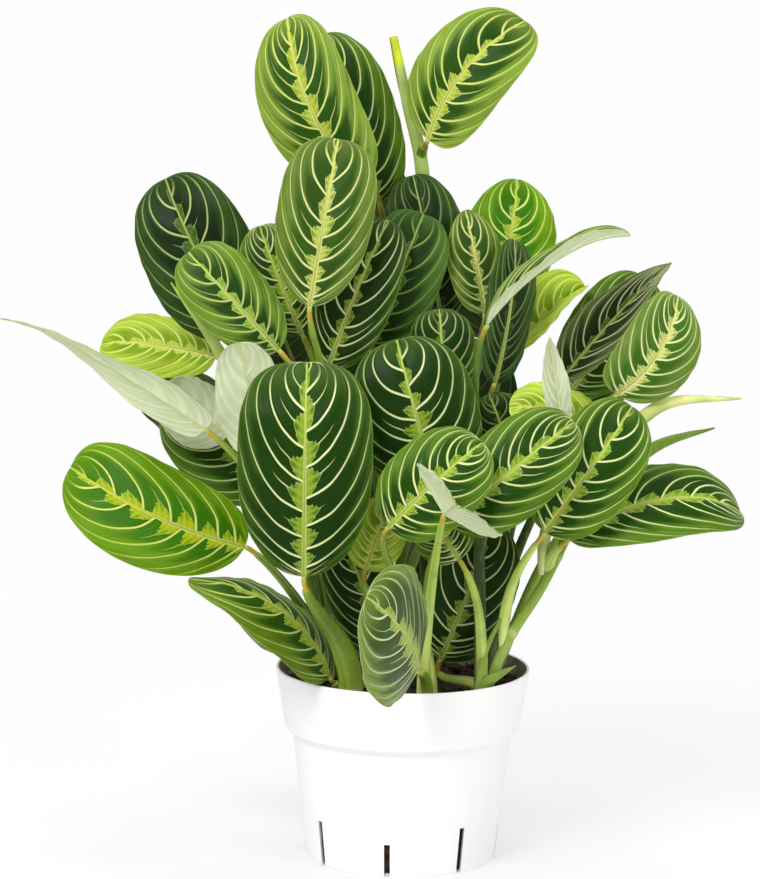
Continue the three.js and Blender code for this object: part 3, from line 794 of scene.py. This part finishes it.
def add_fibres(bundle, root, random):
    """Brown root fibres at the foot of a clump."""
    for _ in range(FIBRE_COUNT):
        angle = random.uniform(0, 2 * math.pi)
        out = np.array([math.cos(angle), math.sin(angle), 0])
        start = np.array([root[0], root[1], MIX_TOP + random.uniform(2, 7)]) + out * 3
        middle = start + out * random.uniform(1, 4) + [0, 0, random.uniform(-2, 2)]
        end = middle + out * random.uniform(0, 1) - [0, 0, 9]
        path, share = smooth_path([start, middle, end], 16, FIBRE_RINGS)
        bundle.add_tube(path, 0.5 - 0.25 * share, ramp(share, FIBRE_TINTS), sides=6)


# Node trees
class Value:
    """An output socket of a node, for use in sums as if it were a number."""

    def __init__(self, tree, socket):
        self.tree = tree
        self.socket = socket

    def math(self, operation, *others, clamp=False):
        return self.tree.add("Math", self, *others, operation=operation, use_clamp=clamp)

    def __add__(self, other):
        return self.math("ADD", other)

    def __sub__(self, other):
        return self.math("SUBTRACT", other)

    def __rsub__(self, other):
        return self.tree.add("Math", other, self, operation="SUBTRACT")

    def __mul__(self, other):
        return self.math("MULTIPLY", other)

    def __truediv__(self, other):
        return self.math("DIVIDE", other)

    def __abs__(self):
        return self.math("ABSOLUTE")

    def step(self, low, high, to_low=0.0, to_high=1.0):
        """Eases from to_low to to_high while the value goes from low to high."""
        return self.tree.add("MapRange", self, low, high, to_low, to_high, interpolation_type="SMOOTHSTEP")

    def below(self, limit, blur):
        """1 where the value is under limit and 0 where it is over, blurred on both sides."""
        return (self - limit).step(blur, -blur)


class Tree:
    """Short words for shader nodes. Sockets take a number, a colour or a Value."""

    def __init__(self, name):
        self.material = bpy.data.materials.new(name)
        self.material.use_nodes = True
        self.nodes = self.material.node_tree.nodes
        self.links = self.material.node_tree.links
        self.nodes.clear()

    def put(self, value, socket):
        if isinstance(value, Value):
            self.links.new(value.socket, socket)
        elif isinstance(value, tuple) and socket.type == "RGBA":
            socket.default_value = (*value, 1)
        else:
            socket.default_value = value

    def add(self, kind, *values, output=0, **named):
        """A node with values in its first sockets. Names with a capital are those of more
        sockets, and names without one are those of settings. It gives the output asked for."""
        node = self.nodes.new("ShaderNode" + kind)
        for value, socket in zip(values, node.inputs):
            self.put(value, socket)
        for name, item in named.items():
            if name[0].isupper():
                self.put(item, node.inputs[name.replace("_", " ")])
            else:
                setattr(node, name, item)
        return Value(self, node.outputs[output])

    def mix(self, share, first, second, kind="MIX"):
        node = self.nodes.new("ShaderNodeMix")
        node.data_type = "RGBA"
        node.blend_type = kind
        for place, item in ((0, share), (6, first), (7, second)):
            self.put(item, node.inputs[place])
        return Value(self, node.outputs[2])

    def shaded(self, tint, shade):
        return self.mix(1.0, tint, self.vector(shade, shade, shade), "MULTIPLY")

    def value(self, name):
        return self.add("Attribute", attribute_name=name, output="Fac")

    def tint(self, name):
        return self.add("Attribute", attribute_name=name, output="Color")

    def vector(self, x, y, z):
        return self.add("CombineXYZ", x, y, z)

    def place(self):
        return self.add("TexCoord", output="Object")

    def noise(self, place, scale, detail=2.0, roughness=0.5):
        return self.add("TexNoise", Vector=place, Scale=scale, Detail=detail, Roughness=roughness)

    def profile(self, value, stops):
        """A curve through (place, level) stops."""
        node = self.nodes.new("ShaderNodeValToRGB")
        items = node.color_ramp.elements
        while len(items) < len(stops):
            items.new(0.5)
        for item, (place, level) in zip(items, stops):
            item.position = place
            item.color = (level, level, level, 1)
        self.put(value, node.inputs[0])
        return Value(self, node.outputs[0])

    def bump(self, height, distance, strength=1.0):
        return self.add("Bump", Height=height, Distance=distance, Strength=strength)

    def principled(self, tint, roughness, **more):
        return self.add("BsdfPrincipled", Base_Color=tint, Roughness=roughness, **more)

    def thin(self, surface, tint, share, normal):
        """Lets a share of the light through, as a thin leaf does."""
        return self.add("MixShader", share, surface, self.add("BsdfTranslucent", tint, normal))

    def done(self, surface):
        self.put(surface, self.nodes.new("ShaderNodeOutputMaterial").inputs[0])
        return self.material


# Outline of a lobe of the lime band from one vein to the next: out along the vein to a
# point, then back to the midrib in steps
LOBE = [
    (0.0, 0.34), (0.1, 0.5), (0.16, 0.68), (0.19, 0.6), (0.3, 0.82), (0.44, 1.0), (0.47, 0.76),
    (0.52, 0.72), (0.56, 0.76), (0.6, 0.5), (0.66, 0.5), (0.7, 0.24), (0.78, 0.13), (1.0, 0.1),
]
LOBE_POINT = 0.44


def vein_pattern(tree):
    """What both sides of a blade share. A point lies in a cell between two veins, a share
    t of the way across; way and from_vein are its millimetres from midrib and vein."""
    p = SimpleNamespace()
    for name in ("seed", "along", "reach", "spacing"):
        setattr(p, name, tree.value(name))
    p.way = tree.value("from_midrib")
    wander = tree.noise(tree.vector(p.along, p.reach, p.seed), 3.2, 1.0)
    p.number = tree.value("veins") + (wander - 0.5) * 0.13
    p.cell = p.number.math("FLOOR")
    p.t = p.number - p.cell
    p.crest = (p.t * math.pi).math("SINE")
    p.from_vein = (0.5 - abs(p.t - 0.5)) * p.spacing
    return p


def along_veins(tree, p, across_scale, along_scale, *noise):
    """Noise drawn out along the veins."""
    return tree.noise(tree.vector(p.number * across_scale, p.way * along_scale, p.seed), *noise)


def dark_middle(tree, p):
    """A dark middle that reaches out furthest between the veins."""
    cloud = along_veins(tree, p, 0.9, 0.06, 1.6, 2.0)
    edge = tree.value("dark_to") + (p.crest - 0.75) * 0.3 + (cloud - 0.5) * 0.4 + (p.lines - 0.5) * 0.5
    tip_light = p.along.step(0.8, 1.0, 0.0, 0.65)
    outer = (p.reach - edge).step(-0.2, 0.16).math("MAXIMUM", tip_light)
    ground = tree.mix(outer, tree.tint("centre_colour"), tree.tint("margin_colour"))
    streak = p.lines.step(0.3, 0.7, -1.0, 1.0) * outer.step(0.0, 1.0, 0.1, 0.3)
    return tree.shaded(ground, (streak + 1.0) * p.chance.step(0.0, 1.0, 0.9, 1.1))


def lime_band(tree, p, ground):
    """The lime band along the midrib: a toothed and pleated lobe in each cell."""
    jitter = along_veins(tree, p, 1.4, 0.3, 1.3, 1.0)
    p.t_even = p.t / ((p.chance * 7.3).math("FRACT") * 0.5 + 0.84)
    t_lobe = p.t_even.math("ADD", (jitter - 0.5) * 0.14, clamp=True)
    p.lobe_width = tree.value("band") * p.chance.step(0.0, 1.0, 0.82, 1.16)
    inside = tree.profile(t_lobe, LOBE) * p.lobe_width - p.way
    inner = (p.way / p.lobe_width).step(0.1, 1.0)
    pleat = abs((t_lobe * (4.4 * math.pi)).math("SINE"))
    hollow = pleat.step(0.3, 0.95) * inner.step(0.1, 0.6, 0.2, 0.7)
    brink = inside.step(0.1, 0.75, 0.6, 0.0) * p.way.step(1.2, 2.4)
    lime, margin = tree.tint("band_colour"), tree.tint("margin_colour")
    tint = tree.mix(inner * 0.3, lime, margin)
    tint = tree.mix(hollow, tint, tree.mix(0.3, margin, tree.tint("centre_colour")))
    tint = tree.mix(brink, tint, tree.mix(0.5, lime, colour(226, 232, 158)))
    return tree.mix(inside.step(-0.25, 0.25) * p.shown, ground, tint)


def pale_veins(tree, p, ground):
    """Lateral veins that fade towards margin and tip, and a veinlet beyond some lobes."""
    width = p.reach.step(0.1, 1.0, 0.62, 0.28) * tree.value("scale")
    fade = p.reach.step(0.84, 1.0, 1.0, 0.2) * p.along.step(0.86, 0.99, 1.0, 0.1)
    vein = p.from_vein.below(width, 0.22) * fade * p.number.step(0.35, 0.8)
    beyond = p.way - p.lobe_width
    some = p.chance.step(0.3, 0.8)
    taper = beyond.step(0.0, some * 10.0 + 3.0, 0.3, 0.0) * some
    veinlet = (abs(p.t_even - LOBE_POINT) * p.spacing).below(taper, 0.16)
    veinlet = veinlet * beyond.step(-2.0, 0.0) * taper.step(0.02, 0.1, 0.0, 0.8)
    greener = p.reach.step(0.2, 0.95, 0.06, 0.42)
    tint = tree.mix(greener, tree.tint("vein_colour"), tree.tint("margin_colour"))
    return tree.mix(vein.math("MAXIMUM", veinlet) * p.shown, ground, tint)


def midrib_and_hem(tree, p, ground):
    """A pale midrib with an olive core, and a pale hem at the margin."""
    lime = tree.tint("band_colour")
    rib = p.way.below(p.along.step(0.0, 1.0, 1.5, 0.35), 0.3)
    ground = tree.mix(rib, ground, tree.mix(0.5, lime, colour(214, 218, 130)))
    core = p.way.below(0.3, 0.18) * p.along.step(0.35, 0.75, 0.7, 0.0)
    ground = tree.mix(core, ground, colour(128, 128, 62))
    hem = tree.value("to_margin").step(0.2, 0.75, 0.55, 0.0)
    return tree.mix(hem, ground, tree.mix(0.5, lime, tree.tint("margin_colour")))


def blade_top_material():
    tree = Tree("blade_top")
    p = vein_pattern(tree)
    # A pattern below 1 dims the band and veins: painted shade for leaves inside the plant
    p.shown = tree.value("pattern")
    p.lines = along_veins(tree, p, 2.4, 0.016, 5.0, 3.0, 0.6)
    cell_number = p.cell + (p.seed * 20.0).math("ROUND") * 31.0
    p.chance = tree.add("TexWhiteNoise", noise_dimensions="1D", W=cell_number, output="Value")
    ground = dark_middle(tree, p)
    ground = lime_band(tree, p, ground)
    ground = pale_veins(tree, p, ground)
    ground = midrib_and_hem(tree, p, ground)

    # Relief: veins and midrib lie a little deep, and fine lines run between them
    height = p.from_vein.step(0.0, 1.6) * 0.6 + p.lines * 0.28 + p.way.step(0.0, 2.4) * 0.8
    normal = tree.bump(height, 0.0007)
    surface = tree.principled(
        ground,
        p.lines.step(0.25, 0.75, 0.34, 0.44),
        Normal=normal,
        Specular_IOR_Level=0.11,
        Sheen_Weight=0.2,
        Sheen_Roughness=0.35,
    )
    return tree.done(tree.thin(surface, tree.mix(0.05, ground, colour(150, 190, 40)), 0.16, normal))


def blade_under_material():
    tree = Tree("blade_underside")
    p = vein_pattern(tree)
    lines = along_veins(tree, p, 8.0, 0.03, 4.0, 3.0, 0.6)
    ground = tree.shaded(tree.tint("under_colour"), lines.step(0.3, 0.7, 0.9, 1.07))
    ground = tree.mix(p.from_vein.below(0.45, 0.35) * 0.12, ground, colour(226, 232, 190))
    ground = tree.mix(p.crest.step(0.2, 1.0, 0.0, 0.16), ground, tree.tint("margin_colour"))
    ground = tree.mix(p.way.below(1.0, 0.4) * 0.5, ground, colour(196, 208, 128))

    # Relief: veins and midrib stand out
    height = p.from_vein.step(1.4, 0.0) * 0.7 + lines * 0.3 + p.way.step(2.6, 0.0)
    normal = tree.bump(height, 0.0004, 0.9)
    surface = tree.principled(ground, 0.55, Normal=normal, Specular_IOR_Level=0.2)
    return tree.done(tree.thin(surface, ground, 0.18, normal))


def blade_rim_material():
    tree = Tree("blade_margin")
    margin = tree.tint("margin_colour")
    grain = tree.noise(tree.place(), 900.0)
    tint = tree.mix(0.45, margin, colour(206, 216, 140))
    return tree.done(tree.principled(tree.mix(grain.step(0.35, 0.7, 0.0, 0.25), tint, margin), 0.5))


def stalk_material():
    tree = Tree("stalk")
    drawn_out = tree.add("Mapping", tree.place(), Scale=(1.0, 1.0, 0.06))
    streaks = tree.noise(drawn_out, 1100.0)
    blotches = tree.noise(tree.place(), 60.0)
    tint = tree.mix(streaks.step(0.5, 0.75, 0.0, 0.2), tree.tint("tint"), colour(204, 214, 124))
    tint = tree.mix(blotches.step(0.45, 0.7, 0.0, 0.35), tint, colour(94, 122, 36))
    normal = tree.bump(streaks, 0.0001, 0.6)
    return tree.done(tree.principled(tint, 0.45, Normal=normal, Specular_IOR_Level=0.25))


def pot_material():
    """White plastic, stained by the mix on the inside."""
    tree = Tree("pot_plastic")
    grain = tree.noise(tree.place(), 2600.0)
    cloud = tree.noise(tree.place(), 26.0, 3.0)
    dirt = tree.noise(tree.place(), 160.0, 4.0, 0.65)
    inside = tree.value("inside")
    tint = tree.mix(cloud.step(0.4, 0.75, 0.0, 0.5), colour(247, 247, 246), colour(240, 241, 240))
    tint = tree.mix(inside * 0.7, tint, colour(122, 110, 80))
    tint = tree.mix(inside * dirt.step(0.38, 0.62) * 0.75, tint, colour(96, 84, 58))
    gloss = cloud.step(0.3, 0.7, 0.3, 0.42)
    normal = tree.bump(grain, 0.00006, 0.5)
    return tree.done(tree.principled(tint, gloss, Normal=normal, Specular_IOR_Level=0.45))


def mix_material():
    tree = Tree("potting_mix")
    fine = tree.noise(tree.place(), 900.0, 4.0, 0.7)
    patch = tree.noise(tree.place(), 130.0, 3.0)
    tint = tree.mix(patch.step(0.4, 0.65), colour(38, 30, 22), colour(70, 54, 38))
    tint = tree.mix(fine.step(0.58, 0.78, 0.0, 0.7), tint, colour(116, 94, 66))
    normal = tree.bump(fine + patch, 0.0012)
    return tree.done(tree.principled(tint, 0.92, Normal=normal, Specular_IOR_Level=0.2))


def floor_material():
    """Paper round the pot that turns into plain white further off. Distances in metres."""
    tree = Tree("floor_paper")
    x, y = (tree.add("SeparateXYZ", tree.place(), output=axis).math("POWER", 2.0) for axis in ("X", "Y"))
    far = (x + y).math("SQRT")
    paper = tree.principled(colour(*FLOOR_TINT), 0.9, Specular_IOR_Level=0.0)
    glow = tree.add("Emission", Strength=FLOOR_GLOW)
    return tree.done(tree.add("MixShader", far.step(0.12, 0.8, 0.55, 1.0), paper, glow))


blade_top = blade_top_material()
blade_under = blade_under_material()
blade_rim = blade_rim_material()
stalk_look = stalk_material()
pot_look = pot_material()
mix_look = mix_material()


# Plant
slots = {item["node"]: item["material_slot"] for item in frame["record"]["subparts"]}


def ready(obj, node=None, slot=None):
    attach(obj, "root")
    if node is not None:
        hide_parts(node)


random = np.random.default_rng(41)
for clump in CLUMPS:
    name = clump["name"]
    bundle = Bundle()
    for index, item in enumerate(clump["leaves"]):
        item.shift = random.uniform(-1, 1)
        ready(build_blade(f"blade_{name}_{index + 1}", item, random), f"leaf_{name}_{index + 1}")
        add_stalk(bundle, item, clump, index, random)
    for index, item in enumerate(clump.get("fused", [])):
        item.shift = random.uniform(-1, 1)
        ready(build_blade(f"young_blade_{name}_{index + 1}", item, random), slot="leaf_pale")
        add_stalk(bundle, item, clump, len(clump["leaves"]), random)
    for stem in clump.get("stems", []):
        add_stem(bundle, stem)
    for shoot in clump.get("shoots", []):
        add_shoot(bundle, shoot)
    add_fibres(bundle, clump["root"], random)
    ready(bundle.piece(f"sheathed_stalks_{name}", stalk_look), f"stalks_{name}")


# Pot
def pot_wall(height):
    """Outer radius of the pot at a height."""
    heights = [0, NECK_TOP, COLLAR_FOOT_HEIGHT, POT_HEIGHT]
    return np.interp(height, heights, [BASE_RADIUS, NECK_RADIUS, COLLAR_FOOT_RADIUS, RIM_RADIUS])


def lathe(profile, sides):
    """Turns (radius, height) pairs round Z; the first and last lie on the axis."""
    turn = 2 * math.pi * np.arange(sides) / sides
    points = [(0, 0, profile[0][1])]
    for radius, height in profile[1:-1]:
        points += [(radius * math.cos(a), radius * math.sin(a), height) for a in turn]
    points.append((0, 0, profile[-1][1]))
    rings = len(profile) - 2
    last = 1 + (rings - 1) * sides
    foot = [(0, 1 + (k + 1) % sides, 1 + k) for k in range(sides)]
    end = [(last + k, last + (k + 1) % sides, len(points) - 1) for k in range(sides)]
    return points, foot + ring_faces(rings, sides, 1) + end


def rounded(corner_points, radius, steps=4):
    """Rounds every corner of an open profile but its ends."""
    p = [np.array(q, float) for q in corner_points]
    out = [tuple(p[0])]
    for before, here, after in zip(p, p[1:], p[2:]):
        a, b = before - here, after - here
        cut = min(radius, 0.45 * np.linalg.norm(a), 0.45 * np.linalg.norm(b))
        start, end = here + unit(a) * cut, here + unit(b) * cut
        for t in np.linspace(0, 1, steps + 1):
            out.append(tuple(start * (1 - t) ** 2 + here * 2 * t * (1 - t) + end * t * t))
    out.append(tuple(p[-1]))
    return out


def cut_slot(pot, height, angle):
    """A drain slot at the foot of the wall."""
    bpy.ops.mesh.primitive_cube_add(size=1)
    cutter = bpy.context.active_object
    cutter.scale = (2 * SLOT_DEPTH * MM, SLOT_WIDTH * MM, 2 * height * MM)
    cutter.location = (BASE_RADIUS * math.cos(angle) * MM, BASE_RADIUS * math.sin(angle) * MM, 0)
    cutter.rotation_euler = (0, 0, angle)
    cut = pot.modifiers.new("slot", "BOOLEAN")
    cut.object = cutter
    cut.operation = "DIFFERENCE"
    cut.solver = "EXACT"
    bpy.context.view_layer.objects.active = pot
    bpy.ops.object.modifier_apply(modifier="slot")
    bpy.data.objects.remove(cutter)


pot_profile = rounded(
    [
        (0, 0), (BASE_RADIUS, 0), (NECK_RADIUS, NECK_TOP), (COLLAR_FOOT_RADIUS, COLLAR_FOOT_HEIGHT),
        (RIM_RADIUS, POT_HEIGHT - 1), (RIM_RADIUS - 0.3, POT_HEIGHT), (RIM_RADIUS - WALL - 0.2, POT_HEIGHT),
        (COLLAR_FOOT_RADIUS - WALL, COLLAR_FOOT_HEIGHT), (NECK_RADIUS - WALL, NECK_TOP),
        (BASE_RADIUS - WALL, WALL), (0, WALL),
    ],
    POT_ROUNDING,
)
pot = new_piece("nursery_pot", *lathe(pot_profile, POT_SIDES), [pot_look])
for i in range(SLOT_COUNT):
    cut_slot(pot, SLOT_HEIGHTS[i % 2], math.radians(FIRST_SLOT_ANGLE + 360 / SLOT_COUNT * i))
places = np.array([vertex.co[:] for vertex in pot.data.vertices]) / MM
from_axis = np.hypot(places[:, 0], places[:, 1])
inside = (from_axis < pot_wall(places[:, 2]) - 0.6 * WALL) & (places[:, 2] < POT_HEIGHT - 0.4)
set_values(pot.data, "inside", inside)
pot.data.set_sharp_from_angle(angle=math.radians(35))
ready(pot, "pot")


# Potting mix: a plug that fills the pot, with a lumpy top
def wave_noise(points, seed):
    """Smooth noise from sums of turned waves."""
    waves = np.random.default_rng(seed)
    total = np.zeros(len(points))
    for size in (30, 16, 9, 5, 3):
        for _ in range(5):
            direction = unit(waves.normal(size=2))
            phase = waves.uniform(0, 2 * math.pi)
            total += size**0.8 * np.sin(2 * math.pi * (points @ direction) / size + phase)
    return total / 30


def mix_radius(height):
    return pot_wall(height) - WALL - MIX_CLEARANCE


def ball():
    """Points and faces of a ball of radius 1 with its poles cut off."""
    points = []
    for i in range(1, LUMP_RINGS + 1):
        up = math.pi * i / (LUMP_RINGS + 1)
        for k in range(LUMP_SIDES):
            around = 2 * math.pi * k / LUMP_SIDES
            points.append((math.sin(up) * math.cos(around), math.sin(up) * math.sin(around), math.cos(up)))
    last = (LUMP_RINGS - 1) * LUMP_SIDES
    ends = [tuple(range(LUMP_SIDES)), tuple(range(last + LUMP_SIDES - 1, last - 1, -1))]
    return np.array(points), ends + [(a, d, c, b) for a, b, c, d in ring_faces(LUMP_RINGS, LUMP_SIDES)]


side_heights = [WALL + MIX_CLEARANCE, 10, 20, 30, NECK_TOP, COLLAR_FOOT_HEIGHT, MIX_TOP - 3]
mix_profile = [(0, side_heights[0])] + [(mix_radius(h), h) for h in side_heights]
edge_radius = mix_radius(MIX_TOP)
mix_profile += [(edge_radius * (1 - i / MIX_RINGS), MIX_TOP) for i in range(MIX_RINGS)]
mix_profile.append((0, MIX_TOP))
mix_points, mix_faces = lathe(mix_profile, MIX_SIDES)
mix_points = np.array(mix_points)
top = mix_points[:, 2] > MIX_TOP - 1
mix_points[top, 2] += MIX_UNEVEN * wave_noise(mix_points[top][:, :2], 5)
bundle = Bundle()
bundle.add(mix_points, mix_faces, np.ones((len(mix_points), 3)))
ball_points, ball_faces = ball()
lumps = np.random.default_rng(17)
for _ in range(LUMP_COUNT):
    angle = lumps.uniform(0, 2 * math.pi)
    radius = (edge_radius - 4) * math.sqrt(lumps.uniform(0, 1))
    size = lumps.uniform(*LUMP_SIZES)
    here = np.array([radius * math.cos(angle), radius * math.sin(angle), MIX_TOP + 0.6])
    lump = ball_points * (1 + 0.3 * lumps.uniform(-1, 1, size=(len(ball_points), 1)))
    lump = lump * size * lumps.uniform(0.6, 1.2, size=3)
    bundle.add(lump + here, ball_faces, np.ones((len(lump), 3)))
ready(bundle.piece("lumpy_mix", mix_look), "potting_mix")


# Light, floor and camera
def area_light(name, place, target, size, power):
    data = bpy.data.lights.new(name, "AREA")
    data.energy = power
    data.shape = "DISK"
    data.size = size
    obj = bpy.data.objects.new(name, data)
    scene.collection.objects.link(obj)
    obj.location = Vector(place)
    obj.rotation_euler = (Vector(target) - Vector(place)).to_track_quat("-Z", "Y").to_euler()


scene = bpy.context.scene
scene.view_settings.view_transform = "Standard"
world = scene.world or bpy.data.worlds.new("studio")
scene.world = world
world.use_nodes = True
background = world.node_tree.nodes["Background"]
background.inputs[0].default_value = (1, 1, 1, 1)
background.inputs[1].default_value = WORLD_STRENGTH
for light in LIGHTS:
    area_light(**light)

floor_mesh = bpy.data.meshes.new("floor")
floor_corners = [(x * FLOOR_HALF, y * FLOOR_HALF, 0) for x, y in ((-1, -1), (1, -1), (1, 1), (-1, 1))]
floor_mesh.from_pydata(floor_corners, [], [(0, 1, 2, 3)])
floor_mesh.materials.append(floor_material())
floor = bpy.data.objects.new("floor", floor_mesh)
scene.collection.objects.link(floor)

camera_data = bpy.data.cameras.new("camera")
camera_data.lens = CAMERA_LENS
camera_data.sensor_width = SENSOR_WIDTH
camera = bpy.data.objects.new("camera", camera_data)
scene.collection.objects.link(camera)
camera.location = Vector(CAMERA_PLACE) * MM
look_along = (Vector(CAMERA_TARGET) - Vector(CAMERA_PLACE)).to_track_quat("-Z", "Y")
camera.rotation_euler = (look_along @ Quaternion((0, 0, 1), math.radians(CAMERA_ROLL))).to_euler()
scene.camera = camera
